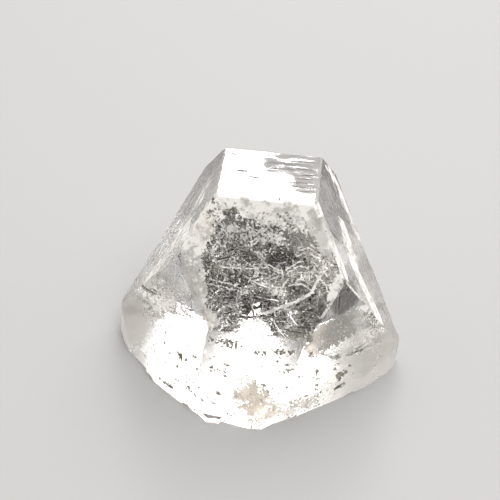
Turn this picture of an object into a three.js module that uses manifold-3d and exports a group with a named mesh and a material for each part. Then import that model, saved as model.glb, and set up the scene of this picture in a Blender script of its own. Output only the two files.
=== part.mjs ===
// An apophyllite point: the tip of a tetragonal crystal, split from its cluster along the flat
// basal cleavage and standing on that split, with its c axis upright.
//
// Millimetres, +Z up along the c axis. The faces keep the angles that the mineral always has: four
// pyramid faces at 60.5 degrees to the flat tip, and four prism faces turned 45 degrees from them,
// which cut off the pyramid's ridges. Only the distances of the faces from the axis differ from
// crystal to crystal.
//
// Everything is one solid: the plain form, the foot that an earlier stage of growth left standing
// proud of the front prism faces, then worn ridges, growth lines, pits, chips and the curved steps
// of the split underneath.

import * as THREE from 'three';
import { mergeVertices } from 'three/addons/utils/BufferGeometryUtils.js';
import Module from 'manifold-3d';

const wasm = await Module();
wasm.setup();

// Driving dimensions

const HEIGHT = 15.06;
const TIP_HALF_WIDTH = 3.76;
const TIP_FRONT = 3.4;
const TIP_BACK = 3.82;
const PYRAMID_ANGLE = THREE.MathUtils.degToRad(60.5);
const PRISM_DISTANCE = { frontLeft: 8.03, frontRight: 8.81, backRight: 7.05, backLeft: 7.62 };
const RIDGE_WEAR = 0.06;
const BLOCK = 60;
const EDGE_OF_A_RING = 0.96;

// Where the foot stands, seen from above, from the left corner round the front to the right one.
const FOOTPRINT = [
  [-9.5, 0.8], [-10.9, -0.6], [-10.46, -1.9], [-9.86, -3.3], [-9.0, -4.35], [-8.1, -5.45],
  [-8.13, -5.85], [-7.38, -6.95], [-5.36, -8.92], [-3.2, -10.74], [-1.7, -11.0], [-0.4, -11.38],
  [0.48, -11.5], [1.33, -11.12], [3.73, -9.44], [6.64, -6.91], [8.63, -5.11], [9.48, -3.98],
  [10.49, -2.68], [10.95, -1.66], [9.5, -0.3],
];
const FOOT_HEIGHT = 7.5;

// A splinter of the next layer that stayed on the foot's front edge.
const SPLINTER = [[-3.6, -10.3], [-2.85, -11.27], [-2.3, -11.2], [-1.95, -11.32], [-1.55, -10.7]];
const SPLINTER_THICKNESS = 0.42;

// The worn corners of the whole crystal, as distances from the axis.
const CORNER_DISTANCE = { front: 11.42, left: 10.93, right: 11.14, back: 10.62 };

// How much of each face is marked, and how finely.
const GROWTH_LINES_PER_PYRAMID_FACE = 9;
const PITS_PER_PYRAMID_FACE = 13;
const PITS_UNDER_THE_FRONT = 26;

// Solids

function solidOf(geometry) {
  const bare = geometry.clone();
  bare.deleteAttribute('normal');
  bare.deleteAttribute('uv');
  const merged = mergeVertices(bare, 1e-5);
  return new wasm.Manifold(new wasm.Mesh({
    numProp: 3,
    vertProperties: new Float32Array(merged.attributes.position.array),
    triVerts: new Uint32Array(merged.index.array),
  }));
}

function geometryOf(solid) {
  const mesh = solid.getMesh();
  const positions = new Float32Array(mesh.numVert * 3);
  for (let i = 0; i < mesh.numVert; i += 1) {
    const start = i * mesh.numProp;
    positions.set(mesh.vertProperties.subarray(start, start + 3), i * 3);
  }
  const geometry = new THREE.BufferGeometry();
  geometry.setAttribute('position', new THREE.BufferAttribute(positions, 3));
  geometry.setIndex(new THREE.BufferAttribute(new Uint32Array(mesh.triVerts), 1));
  return geometry;
}

// A crystal face: its outward normal and its distance from the origin.
function face(x, y, z, distance) {
  return { normal: new THREE.Vector3(x, y, z).normalize(), distance };
}

// Everything that a face cuts away, as one block lying on the face's plane.
function beyond({ normal, distance }) {
  const block = new THREE.BoxGeometry(BLOCK, BLOCK, BLOCK);
  block.translate(0, 0, distance + BLOCK / 2);
  const up = new THREE.Vector3(0, 0, 1);
  block.applyQuaternion(new THREE.Quaternion().setFromUnitVectors(up, normal));
  return solidOf(block);
}

function cutByFaces(solid, faces) {
  return faces.reduce((left, each) => left.subtract(beyond(each)), solid);
}

// The plane that wears the ridge between two faces down.
function ridgeFace(one, other, wear) {
  const sum = one.normal.clone().add(other.normal);
  const distance = (one.distance + other.distance) / sum.length() - wear;
  return { normal: sum.normalize(), distance };
}

// The faces of the plain form

const RUN = Math.sin(PYRAMID_ANGLE);
const RISE = Math.cos(PYRAMID_ANGLE);
const pyramidDistance = (tipReach) => tipReach * RUN + HEIGHT * RISE;

const pyramid = {
  front: face(0, -RUN, RISE, pyramidDistance(TIP_FRONT)),
  right: face(RUN, 0, RISE, pyramidDistance(TIP_HALF_WIDTH)),
  back: face(0, RUN, RISE, pyramidDistance(TIP_BACK)),
  left: face(-RUN, 0, RISE, pyramidDistance(TIP_HALF_WIDTH)),
};
const prism = {
  frontLeft: face(-1, -1, 0, PRISM_DISTANCE.frontLeft),
  frontRight: face(1, -1, 0, PRISM_DISTANCE.frontRight),
  backRight: face(1, 1, 0, PRISM_DISTANCE.backRight),
  backLeft: face(-1, 1, 0, PRISM_DISTANCE.backLeft),
};
const tip = face(0, 0, 1, HEIGHT);
const split = face(0, 0, -1, 0);
const corners = [
  face(0.03, -1, 0.09, CORNER_DISTANCE.front),
  face(-1, 0.02, 0, CORNER_DISTANCE.left),
  face(1, -0.12, 0, CORNER_DISTANCE.right),
  face(0.04, 1, 0, CORNER_DISTANCE.back),
];

// Worn ridges: the two faces that meet, and how many times the plain wear their ridge takes.
function wornRidges() {
  const { front, right, back, left } = pyramid;
  const { frontLeft, frontRight, backRight, backLeft } = prism;
  const ridges = [
    [front, right, 1.3], [right, back, 1.6], [back, left, 1.2], [left, front, 1.4],
    [tip, front, 1], [tip, right, 1.3], [tip, back, 1.2], [tip, left, 0.9],
    [frontLeft, front, 1], [frontLeft, left, 0.9], [frontRight, front, 1], [frontRight, right, 0.8],
    [backRight, right, 1], [backRight, back, 0.9], [backLeft, back, 1.1], [backLeft, left, 1.1],
  ];
  return ridges.map(([one, other, times]) => ridgeFace(one, other, RIDGE_WEAR * times));
}

function block() {
  return solidOf(new THREE.BoxGeometry(BLOCK, BLOCK, BLOCK));
}

function plainForm() {
  const faces = [...Object.values(pyramid), ...Object.values(prism), tip, split];
  return cutByFaces(block(), [...faces, ...wornRidges()]);
}

// A shoulder that leaves a prism face at `height` above the face's middle and falls outwards.
// `climb` is its rise along the face, `fall` its drop for each millimetre outwards.
function shoulder(prismFace, height, climb, fall) {
  const along = new THREE.Vector3(-prismFace.normal.y, prismFace.normal.x, 0);
  const slope = prismFace.normal.clone().multiplyScalar(fall);
  slope.addScaledVector(along, -climb).add(new THREE.Vector3(0, 0, 1));
  const length = slope.length();
  return { normal: slope.divideScalar(length), distance: (height + fall * prismFace.distance) / length };
}

function column(outline, height) {
  const shape = new THREE.Shape(outline.map(([x, y]) => new THREE.Vector2(x, y)));
  return solidOf(new THREE.ExtrudeGeometry(shape, { depth: height, bevelEnabled: false }));
}

function foot() {
  const body = cutByFaces(column(FOOTPRINT, FOOT_HEIGHT), [
    ...Object.values(pyramid),
    shoulder(prism.frontLeft, 5.5, 0.4, 2.2),
    shoulder(prism.frontRight, 3.6, -0.12, 2.4),
  ]);
  return body.add(column(SPLINTER, SPLINTER_THICKNESS));
}

// A plate of later growth that stands `out` from a prism face, up to a shoulder.
function growthStep(name, out, height, climb, fall) {
  const inner = prism[name];
  const outer = { normal: inner.normal, distance: inner.distance + out };
  const sides = Object.keys(prism).filter((other) => other !== name).map((other) => prism[other]);
  const top = shoulder(inner, height, climb, fall);
  const level = face(0, 0, 1, height + 4 * Math.abs(climb));
  const edges = [outer, top, ridgeFace(outer, top, RIDGE_WEAR / 2), level];
  return cutByFaces(block(), [...Object.values(pyramid), ...sides, split, ...edges]);
}

function growthSteps() {
  return [
    growthStep('backLeft', 0.2, 6.6, -0.1, 1.4),
    growthStep('backLeft', 0.4, 3.4, 0.12, 1.1),
    growthStep('backRight', 0.16, 7.4, 0.1, 1.8),
    growthStep('backRight', 0.3, 2.0, -0.12, 1.3),
    growthStep('frontRight', 0.14, 6.1, 0.14, 3),
  ];
}

// Marks on a face

// A flat frame on a face: `u` runs level to the right as seen from outside, `v` up the slope.
// Level faces take their `u` from the X axis.
function frameOn({ normal, distance }) {
  const level = Math.abs(normal.z) > 0.99;
  const right = level
    ? new THREE.Vector3(1, 0, 0)
    : new THREE.Vector3(-normal.y, normal.x, 0).normalize();
  const up = normal.clone().cross(right);
  const at = (u, v, out = 0) => normal.clone()
    .multiplyScalar(distance + out)
    .addScaledVector(right, u)
    .addScaledVector(up, v);
  return { right, up, normal, at };
}

// A thin double pyramid lying in the face: taken away it leaves a pointed groove or pit, added it
// leaves a low hillock. `turn` swings its length from `v` towards `u`.
function lozenge(frame, u, v, { length, width, depth, turn = 0, out = 0 }) {
  const shape = new THREE.OctahedronGeometry(1, 0);
  shape.scale(width / 2, length / 2, depth);
  shape.rotateZ(-turn);
  shape.applyMatrix4(new THREE.Matrix4().makeBasis(frame.right, frame.up, frame.normal));
  const place = frame.at(u, v, out);
  shape.translate(place.x, place.y, place.z);
  return solidOf(shape);
}

// Random numbers that are the same on each run.
function numberSource(seed) {
  let state = seed;
  return (low = 0, high = 1) => {
    state = (state * 1664525 + 1013904223) % 4294967296;
    return low + (high - low) * (state / 4294967296);
  };
}

const joined = (solids) => wasm.Manifold.union(solids);

// Upright striations on a prism face or on a plate that stands `out` from it. They stay above the
// shoulder below them, which leaves the face at `floor` and climbs by `climb` along it.
function striations({ name, out = 0, floor, climb = 0, ceiling, halfWidth, count }, seed) {
  const pick = numberSource(seed);
  const frame = frameOn({ normal: prism[name].normal, distance: prism[name].distance + out });
  const lines = [];
  for (let i = 0; i < count; i += 1) {
    const u = pick(-halfWidth, halfWidth);
    const bottom = floor + climb * u;
    const length = pick(0.45, 0.95) * (ceiling - bottom);
    lines.push(lozenge(frame, u, pick(bottom + length / 2, ceiling), {
      length,
      width: pick(0.14, 0.34),
      depth: pick(0.012, 0.03),
      turn: pick(-0.02, 0.02),
    }));
  }
  return joined(lines);
}

const STRIATED = [
  { name: 'frontLeft', floor: 5.8, climb: 0.4, ceiling: 10, halfWidth: 3.6, count: 8 },
  { name: 'frontRight', floor: 6.8, climb: 0.14, ceiling: 9.4, halfWidth: 3.2, count: 8 },
  { name: 'frontRight', out: 0.14, floor: 4.2, ceiling: 5.4, halfWidth: 3.8, count: 6 },
  { name: 'backRight', floor: 8, climb: 0.1, ceiling: 12, halfWidth: 3, count: 6 },
  { name: 'backRight', out: 0.16, floor: 3.8, climb: -0.16, ceiling: 6, halfWidth: 4, count: 5 },
  { name: 'backRight', out: 0.3, floor: 0.2, ceiling: 1.2, halfWidth: 4.6, count: 3 },
  { name: 'backLeft', floor: 7.2, climb: -0.1, ceiling: 11, halfWidth: 3, count: 6 },
  { name: 'backLeft', out: 0.2, floor: 4.9, climb: 0.12, ceiling: 5.9, halfWidth: 3.6, count: 3 },
  { name: 'backLeft', out: 0.4, floor: 0.2, ceiling: 2.3, halfWidth: 5, count: 4 },
];

// Long growth lines that run down a pyramid face, nearly along its outer ridge.
function growthLines(pyramidFace, seed, lean) {
  const pick = numberSource(seed);
  const frame = frameOn(pyramidFace);
  const lines = [];
  for (let i = 0; i < GROWTH_LINES_PER_PYRAMID_FACE; i += 1) {
    const v = pick(-1, 9);
    const halfWidth = 3 + (10 - v) * 0.25;
    lines.push(lozenge(frame, pick(-halfWidth, halfWidth), v, {
      length: pick(1.6, 5),
      width: pick(0.1, 0.24),
      depth: pick(0.02, 0.05),
      turn: lean + pick(-0.08, 0.08),
    }));
  }
  return joined(lines);
}

// Four-sided etch pits, square to the crystal's axes.
function etchPits(pyramidFace, seed, low, high) {
  const pick = numberSource(seed);
  const frame = frameOn(pyramidFace);
  const pits = [];
  for (let i = 0; i < PITS_PER_PYRAMID_FACE; i += 1) {
    const v = pick(low, high);
    const halfWidth = 2.6 + (high - v) * 0.3;
    const width = pick(0.1, 0.26);
    pits.push(lozenge(frame, pick(-halfWidth, halfWidth), v, {
      length: width * pick(1, 1.6),
      width,
      depth: width * pick(0.2, 0.4),
      turn: pick(-0.1, 0.1),
    }));
  }
  return joined(pits);
}

// Broad hillocks, too low to see except where they bend a reflection. Each sinks a hair into its
// face and is cut off where the face ends at the prism.
function hillocks(pyramidFace, places) {
  const frame = frameOn(pyramidFace);
  const sunk = 0.004;
  const mounds = joined(places.map(([u, v, length, width, depth, turn]) => (
    lozenge(frame, u, v, { length, width, depth, turn, out: -sunk })
  )));
  return cutByFaces(mounds, Object.values(prism));
}

// Level growth steps across the right of the tip, each a long shallow groove: its place on the
// tip, then its length, width and depth.
function tipGrooves() {
  const frame = frameOn(tip);
  const level = Math.PI / 2;
  const waver = 0.03;
  const grooves = [
    [2.3, 2.7, 2.8, 0.26, 0.02], [1.1, 2.15, 4.2, 0.5, 0.03], [2.6, 1.6, 2.4, 0.3, 0.03],
    [0.9, 1.35, 3.4, 0.36, 0.02], [2.9, 0.75, 1.9, 0.24, 0.03], [2.6, 0.15, 2.2, 0.28, 0.03],
    [2.2, -0.5, 2.6, 0.22, 0.02], [2.5, -1.15, 2.3, 0.26, 0.03], [2.7, -1.7, 1.8, 0.2, 0.02],
    [-2.1, 0.5, 1.8, 0.3, 0.016], [-1.2, -0.3, 1.4, 0.2, 0.016], [-3.0, 2.9, 0.9, 0.24, 0.02],
  ];
  return joined(grooves.map(([u, v, length, width, depth], i) => (
    lozenge(frame, u, v, { length, width, depth, turn: level + waver * ((i % 3) - 1) })
  )));
}

// The dark pit below the tip's front ridge, and the smaller ones that trail from it: place on the
// front face, then length, width and depth.
function frontPits() {
  const frame = frameOn(pyramid.front);
  const pits = [
    [-2.75, 10.35, 0.5, 0.36, 0.22], [-1.75, 10.55, 0.3, 0.24, 0.12], [-3.3, 9.6, 0.34, 0.2, 0.1],
    [-3.9, 10.2, 0.3, 0.22, 0.1], [-2.3, 10.95, 0.26, 0.2, 0.1], [0.2, 10.4, 0.2, 0.16, 0.08],
    [1.4, 10.3, 0.22, 0.18, 0.08], [-4.4, 8.1, 0.6, 0.3, 0.12], [-4.9, 7.4, 0.5, 0.24, 0.1],
    [-3.7, 8.8, 0.36, 0.3, 0.1], [-1.2, 9.7, 0.4, 0.3, 0.1], [-2.2, 9.3, 0.3, 0.36, 0.1],
  ];
  return joined(pits.map(([u, v, length, width, depth], i) => (
    lozenge(frame, u, v, { length, width, depth, turn: 0.5 * i })
  )));
}

// A shell-shaped chip: a ball pressed into an edge at a point, from the way that it faces, until
// only `bite` of it is inside.
function chip([x, y, z], [dx, dy, dz], radius, bite, squash = 1) {
  const ball = new THREE.IcosahedronGeometry(radius, 2);
  const outward = new THREE.Vector3(dx, dy, dz).normalize();
  ball.scale(1, 1, squash);
  ball.rotateZ(x + y);
  const centre = new THREE.Vector3(x, y, z).addScaledVector(outward, radius - bite);
  ball.translate(centre.x, centre.y, centre.z);
  return solidOf(ball);
}

function chips() {
  return joined([
    chip([-3.7, -3.4, 15.06], [-1, -1, 1], 1.6, 0.2),
    chip([3.8, -3.4, 15.06], [1, -1, 0.8], 1.3, 0.24),
    chip([-5.9, -5.5, 11.3], [-1, -1, 0.3], 2.2, 0.16),
    chip([6.45, -6.05, 10.3], [1, -1, 0.4], 1.9, 0.15),
    chip([-4.7, -4.4, 13.3], [-1, -1, 0.6], 3, 0.1, 0.7),
    chip([5.2, -4.9, 12.5], [1, -1, 0.6], 2.6, 0.09),
    chip([-10.93, -0.5, 1.1], [-1, 0, 0], 3, 0.1),
    chip([10.95, -1.5, 0.8], [1, -0.1, -0.1], 2.4, 0.12),
    chip([-8.9, -4.4, 0], [-1, -0.7, -0.5], 2, 0.16, 0.7),
    chip([-7.9, -6.2, 0], [-1, -1, -0.6], 1.5, 0.2, 0.8),
    chip([-6.1, -8.2, 0], [-1, -1, -0.8], 1.7, 0.14, 0.8),
    chip([-4.5, -9.6, 0], [-1, -1, -0.8], 1.1, 0.12),
    chip([2.4, -10.4, 0], [0.6, -1, -0.8], 1.6, 0.14, 0.8),
    chip([4.9, -8.4, 0], [1, -1, -0.8], 2.2, 0.15, 0.6),
    chip([7.6, -6, 0], [1, -1, -0.6], 1.5, 0.16, 0.8),
    chip([-0.3, 10.6, 0.2], [0, 1, -0.3], 2.2, 0.2, 0.7),
    chip([4.6, 5.6, 0], [1, 1, -0.6], 2, 0.22, 0.7),
    chip([-5.2, 5.8, 0], [-1, 1, -0.6], 1.8, 0.2, 0.8),
    chip([-8, 3.1, 0], [-1, 1, -0.6], 1.4, 0.16),
    chip([7.9, 2, 0], [1, 1, -0.6], 1.6, 0.18),
    chip([0.2, 3.82, 15.06], [0, 1, 1], 2.4, 0.1),
  ]);
}

// The split underneath: shell-shaped steps that spread over the rear half, then small pits left by
// the matrix under the front. Each step is a shallow crescent between a circle and a slightly
// smaller one, moved by `shift` towards the angle `turn`.
function crescent([x, y], radius, shift, turn, depth) {
  const round = 44;
  const disc = (r, height) => new THREE.CylinderGeometry(r, r, height, round).rotateX(Math.PI / 2);
  const outer = disc(radius, 2 * depth).translate(x, y, 0);
  const inner = disc(radius * EDGE_OF_A_RING, 4 * depth);
  inner.translate(x + shift * Math.cos(turn), y + shift * Math.sin(turn), 0);
  return solidOf(outer).subtract(solidOf(inner));
}

function splitSteps() {
  return joined([
    crescent([3.4, 5.4], 3.3, 0.5, 1.2, 0.16),
    crescent([3.5, 5.2], 2.8, 0.42, 1.4, 0.12),
    crescent([3.6, 5.0], 2.3, 0.36, 1.5, 0.22),
    crescent([3.8, 4.8], 1.8, 0.3, 1.1, 0.12),
    crescent([3.9, 4.6], 1.4, 0.3, 0.8, 0.2),
    crescent([-1.2, 6.0], 2.4, 0.4, 1.9, 0.14),
    crescent([-1.1, 6.1], 1.9, 0.3, 2.1, 0.1),
    crescent([-1.0, 6.2], 1.3, 0.26, 2.3, 0.2),
    crescent([-4.4, 4.4], 1.9, 0.34, 2.6, 0.16),
    crescent([-4.2, 4.3], 1.3, 0.26, 2.9, 0.12),
    crescent([-0.2, 3.6], 2.4, 0.3, -1.4, 0.12),
    crescent([5.4, 2.6], 1.8, 0.36, 0.4, 0.14),
    crescent([0.6, 8.0], 1.6, 0.3, 1.6, 0.18),
    crescent([-6.4, 2.6], 1.4, 0.3, -1.9, 0.14),
  ]);
}

function pitsUnderneath() {
  const pick = numberSource(71);
  const frame = frameOn(split);
  const pits = [];
  for (let i = 0; i < PITS_UNDER_THE_FRONT; i += 1) {
    const x = pick(-6.5, 6.5);
    const width = pick(0.2, 0.55);
    pits.push(lozenge(frame, x, pick(1.4, 9.4 - 0.8 * Math.abs(x)), {
      length: width * pick(1, 2),
      width,
      depth: width * pick(0.3, 0.5),
      turn: pick(0, Math.PI),
    }));
  }
  return joined(pits);
}

// The whole crystal

function crystalSolid() {
  const form = cutByFaces(joined([plainForm(), foot(), ...growthSteps()]), corners);
  const raised = joined([
    hillocks(pyramid.left, [[-1.5, 5, 5, 2.2, 0.05, 0.2], [1.6, 2.5, 4, 1.8, 0.04, 0.1]]),
    hillocks(pyramid.right, [[1.6, 5.2, 5.6, 1.6, 0.05, -0.15], [-1.4, 3.4, 4, 2, 0.04, 0.1]]),
    hillocks(pyramid.back, [[0.6, 6.4, 5, 3, 0.05, 0.1], [-0.9, 2.2, 4, 1.6, 0.04, 0]]),
    hillocks(pyramid.front, [[2, 4.2, 6, 2.4, 0.03, 0.1], [-1.6, 3.8, 5, 2.2, 0.03, -0.1]]),
  ]);
  const marks = [
    ...STRIATED.map((each, i) => striations(each, 11 + i)),
    growthLines(pyramid.left, 21, 0.42),
    growthLines(pyramid.right, 22, -0.42),
    growthLines(pyramid.back, 23, 0.1),
    etchPits(pyramid.left, 31, -1, 8),
    etchPits(pyramid.right, 32, -1, 8),
    etchPits(pyramid.back, 33, -2, 9),
    etchPits(pyramid.front, 34, -4, 3),
    tipGrooves(),
    frontPits(),
    chips(),
    splitSteps(),
    pitsUnderneath(),
  ];
  return marks.reduce((left, each) => left.subtract(each), form.add(raised));
}

// The part's origin is the middle of its box, on the surface that it stands on.
function standOnOrigin(geometry) {
  geometry.computeBoundingBox();
  const { min, max } = geometry.boundingBox;
  return geometry.translate(-(min.x + max.x) / 2, -(min.y + max.y) / 2, -min.z);
}

const crystal = new THREE.Mesh(
  standOnOrigin(geometryOf(crystalSolid())),
  new THREE.MeshStandardMaterial({ color: 0xe9e6e1, roughness: 0.08, metalness: 0 }),
);
crystal.name = 'crystal';

const group = new THREE.Group();
group.add(crystal);

export default group;
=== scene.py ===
# %% [markdown]
# # An apophyllite point
# A clear natural crystal, about 22 mm across, stands on its split base. Its shape is fixed: the
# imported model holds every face, ridge, chip and growth step at its real size. This lesson gives
# that one solid its looks: glassy faces, milky bruises and veils, a rippled split underneath and
# a little ingrained dirt, and then light that shows a crystal as a crystal.

# %% Load the fixed model
import math

import bmesh
import bpy
from mathutils import Matrix, Vector, noise


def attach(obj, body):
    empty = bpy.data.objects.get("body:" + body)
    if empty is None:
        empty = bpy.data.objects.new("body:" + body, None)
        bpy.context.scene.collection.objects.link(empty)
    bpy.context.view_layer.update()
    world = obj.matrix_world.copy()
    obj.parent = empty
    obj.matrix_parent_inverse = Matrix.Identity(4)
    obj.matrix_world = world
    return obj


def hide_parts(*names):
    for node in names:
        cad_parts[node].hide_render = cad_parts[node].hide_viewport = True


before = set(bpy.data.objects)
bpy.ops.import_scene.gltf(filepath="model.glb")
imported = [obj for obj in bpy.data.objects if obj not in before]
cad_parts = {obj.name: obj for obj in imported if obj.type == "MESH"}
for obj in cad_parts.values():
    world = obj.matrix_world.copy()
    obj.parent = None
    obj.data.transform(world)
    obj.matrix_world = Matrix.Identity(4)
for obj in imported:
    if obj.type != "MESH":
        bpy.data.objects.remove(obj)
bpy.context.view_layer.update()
MM = 0.001

# %% [markdown]
# ## The camera
# A small thing is photographed from close by, so its near corners look larger than its far ones.
# A flat, far-away view would lose that. The camera therefore stands at the real distance, just
# under 15 cm, and a long lens fills the picture. The picture was taken a little askew, which a
# roll about the line of sight gives back.

# %% Camera
CAMERA_AZIMUTH = math.radians(3.05)
CAMERA_ELEVATION = math.radians(32.66)
CAMERA_ROLL = math.radians(3.94)
CAMERA_DISTANCE = 145.04 * MM
CAMERA_AIM = Vector((-1.385, 4.156, 5.95)) * MM
CAMERA_LENS = 130.9


def direction(bearing, height):
    """The unit vector from the crystal towards a bearing and a height, both in radians.

    Bearing 0 is behind the crystal, along +Y, and it grows towards +X.
    """
    level = math.cos(height)
    return Vector((math.sin(bearing) * level, math.cos(bearing) * level, math.sin(height)))


def facing(place, towards, roll=0):
    """Stands something at a place so that its back, its local Z, points away from what it sees."""
    turn = towards.to_track_quat("Z", "Y").to_matrix() @ Matrix.Rotation(roll, 3, "Z")
    return Matrix.Translation(place) @ turn.to_4x4()


def add_camera():
    data = bpy.data.cameras.new("camera")
    data.lens = CAMERA_LENS
    data.clip_start = 10 * MM
    camera = bpy.data.objects.new("camera", data)
    away = direction(math.pi - CAMERA_AZIMUTH, CAMERA_ELEVATION)
    camera.matrix_world = facing(CAMERA_AIM + away * CAMERA_DISTANCE, away, CAMERA_ROLL)
    bpy.context.scene.collection.objects.link(camera)
    bpy.context.scene.camera = camera
    return camera


camera = add_camera()
print("camera at mm", [round(x / MM, 1) for x in camera.matrix_world.translation])

# %% [markdown]
# ## The crystal
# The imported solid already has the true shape, but its mesh is loose triangles in one material. A
# copy of it can be merged into one skin and given a finish for each kind of surface, and that is
# what stands for the solid from here on. Modelling it again would only lose accuracy.
#
# A crystal has flat faces and sharp ridges, so it stays flat shaded.

# %% Crystal
def copy_of_node(node):
    shape = bmesh.new()
    shape.from_mesh(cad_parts[node].data)
    bmesh.ops.remove_doubles(shape, verts=shape.verts, dist=0.0001 * MM)
    return shape


def piece_from(shape, name):
    mesh = bpy.data.meshes.new(name)
    shape.to_mesh(mesh)
    shape.free()
    piece = bpy.data.objects.new(name, mesh)
    bpy.context.scene.collection.objects.link(piece)
    return piece


skin = copy_of_node("crystal")
print("crystal has", len(skin.faces), "faces")

# %% [markdown]
# ## Marks on the skin
# The glassy skin is marked in many places. Knocks have bruised it to a white crust: below the tip
# and in bands down the side faces. Veils of trapped bubbles cloud both sides of the front face
# and the foot. Grains of rock cling to the lower faces. Painted masks could give one surface two
# looks, but not two transmissions, so every mark chooses whole small faces instead.
#
# Each mark runs from one point to another with a reach round that line, all in millimetres, and
# has the share of the skin that it covers at its middle. Above 1 its core is solid, and towards
# its edge it dissolves in specks. Dirt comes first, because it lies on top of the rest.

# %% Marks
MARKS = {
    "dirt": [
        ((-3.0, -8.2, 5.8), (-0.9, -8.4, 5.5), 0.46, 0.6),
        ((-5.75, -7.15, 3.4), (-5.3, -7.6, 3.3), 0.22, 1.0),
        ((-5.45, -7.45, 3.3), (-5.55, -7.35, 2.95), 0.2, 0.9),
        ((0.2, -8.6, 5.25), (1.1, -8.6, 5.1), 0.26, 0.6),
        ((1.8, -8.5, 5.35), (2.9, -8.4, 5.4), 0.28, 0.56),
        ((3.3, -8.0, 6.7), (4.2, -7.8, 6.3), 0.6, 0.55),
        ((3.3, -8.7, 4.6), (4.4, -7.9, 5.1), 0.26, 0.7),
        ((6.5, -6.3, 2.1), (7.1, -5.8, 2.2), 0.4, 0.85),
        ((6.4, -6.6, 1.2), (6.9, -6.1, 1.3), 0.26, 0.75),
        ((-3.0, -9.4, 3.7), (-1.9, -9.3, 3.8), 0.3, 0.6),
        ((-4.6, -9.3, 1.8), (-4.0, -9.6, 1.6), 0.36, 0.6),
        ((-7.0, -7.0, 0.7), (-6.0, -7.9, 0.8), 0.36, 0.6),
        ((2.0, -9.4, 4.1), (2.5, -9.3, 3.9), 0.3, 0.5),
        ((-6.5, -7.6, 1.5), (5.5, -8.2, 1.5), 2.6, 0.11),
        ((-2.5, -3.5, 14.3), (-2.3, -3.5, 14.2), 0.22, 1.2),
        ((-4.6, -3.9, 13.6), (-2.6, -3.2, 14.6), 0.7, 0.3),
    ],
    "bruised": [
        ((-3.2, -3.1, 14.9), (3.8, -3.1, 14.9), 1.1, 1.3),
        ((-4.2, -3.6, 13.8), (-5.2, -4.7, 11.8), 1.4, 1.15),
        ((5.0, -4.0, 12.2), (6.2, -4.9, 10.4), 0.7, 1.1),
        ((5.9, -5.5, 10.6), (5.3, -6.3, 9.3), 0.5, 0.9),
        ((-6.0, -1.9, 11.3), (-8.7, -2.4, 6.4), 1.0, 1.15),
        ((-4.9, 0.8, 13.1), (-5.9, -0.9, 11.6), 1.3, 0.5),
        ((6.6, -1.9, 9.8), (9.3, -2.7, 5.1), 0.8, 1.2),
        ((5.8, 0.2, 11.2), (6.9, -1.2, 9.4), 1.2, 0.75),
        ((4.4, 4.4, 13.8), (7.0, 2.8, 9.2), 0.9, 0.7),
        ((0.3, -4.6, 12.4), (0.8, -6.9, 7.8), 5.2, 0.14),
        ((-6.4, -4.6, 8.4), (-7.0, -4.6, 5.2), 2.2, 0.2),
        ((-5.2, -4.8, 11.2), (-4.4, -6.9, 8.0), 1.3, 0.36),
        ((-1.5, -3.4, 14.2), (3.0, -3.6, 14.0), 1.4, 0.5),
    ],
    "veil": [
        ((-5.4, -4.6, 11.6), (-4.6, -6.7, 8.4), 1.1, 1.4),
        ((-4.4, -7.0, 7.8), (-3.2, -7.6, 6.9), 0.6, 1.2),
        ((3.6, -3.4, 13.8), (5.0, -4.2, 12.0), 1.0, 1.3),
        ((-1.0, -3.6, 14.0), (2.6, -3.7, 13.8), 1.1, 0.8),
        ((-3.2, -4.3, 12.8), (0.6, -4.3, 12.8), 1.2, 0.55),
        ((4.6, -7.2, 5.9), (7.2, -5.0, 6.2), 1.6, 1.3),
        ((-0.1, -10.1, 2.5), (1.2, -10.4, 1.1), 1.5, 0.95),
        ((1.0, -10.4, 1.4), (4.8, -8.0, 0.8), 1.0, 0.8),
    ],
}
MARK_LINES = [(finish, Vector(start), Vector(end), reach, share)
              for finish, marks in MARKS.items() for start, end, reach, share in marks]


def apart_from(spot, start, end):
    """How far a spot is from the straight piece between two others."""
    along = end - start
    share = (spot - start).dot(along) / along.length_squared
    return (spot - start - along * min(1, max(0, share))).length


print(len(MARK_LINES), "marks")

# %% [markdown]
# ## Cells
# To carry marks with ragged edges, the skin needs small faces there, and so does the rippled
# underside. Faces can be cut into small squares by rows of parallel planes, first one way and
# then the other. Only the chosen faces are cut: every other face and ridge keeps its place. The
# row is swept from low to high, so that each plane meets only the faces that it crosses.

# %% Cells
TOUCH = 0.001 * MM


def span(face, across):
    spots = [vert.co.dot(across) for vert in face.verts]
    return min(spots), max(spots)


def cut_at(shape, faces, across, place):
    edges = {edge for face in faces for edge in face.edges}
    verts = {vert for face in faces for vert in face.verts}
    result = bmesh.ops.bisect_plane(shape, geom=[*faces, *edges, *verts], dist=TOUCH,
                                    plane_co=across * place, plane_no=across)
    return [each for each in result["geom"] if isinstance(each, bmesh.types.BMFace)]


def slice_faces(shape, faces, across, width):
    """Cuts the faces by planes square to `across`, `width` apart, and gives all the pieces."""
    waiting = sorted(faces, key=lambda face: -span(face, across)[0])
    step = math.floor(span(waiting[-1], across)[0] / width) + 1
    crossing, done = [], []
    while waiting or crossing:
        place = step * width
        while waiting and span(waiting[-1], across)[0] < place:
            crossing.append(waiting.pop())
        cut = [face for face in crossing if span(face, across)[1] > place + TOUCH]
        done += [face for face in crossing if span(face, across)[1] <= place + TOUCH]
        parts = cut_at(shape, cut, across, place) if cut else []
        crossing = [face for face in parts if span(face, across)[1] > place + TOUCH]
        done += [face for face in parts if span(face, across)[1] <= place + TOUCH]
        step += 1
    return done


def slice_both_ways(shape, faces, one, other, turn, width):
    """Slices along two directions, turned so that the cells follow no edge of the crystal."""
    ahead = one * math.cos(turn) + other * math.sin(turn)
    aside = other * math.cos(turn) - one * math.sin(turn)
    return slice_faces(shape, slice_faces(shape, faces, ahead, width), aside, width)


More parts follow.
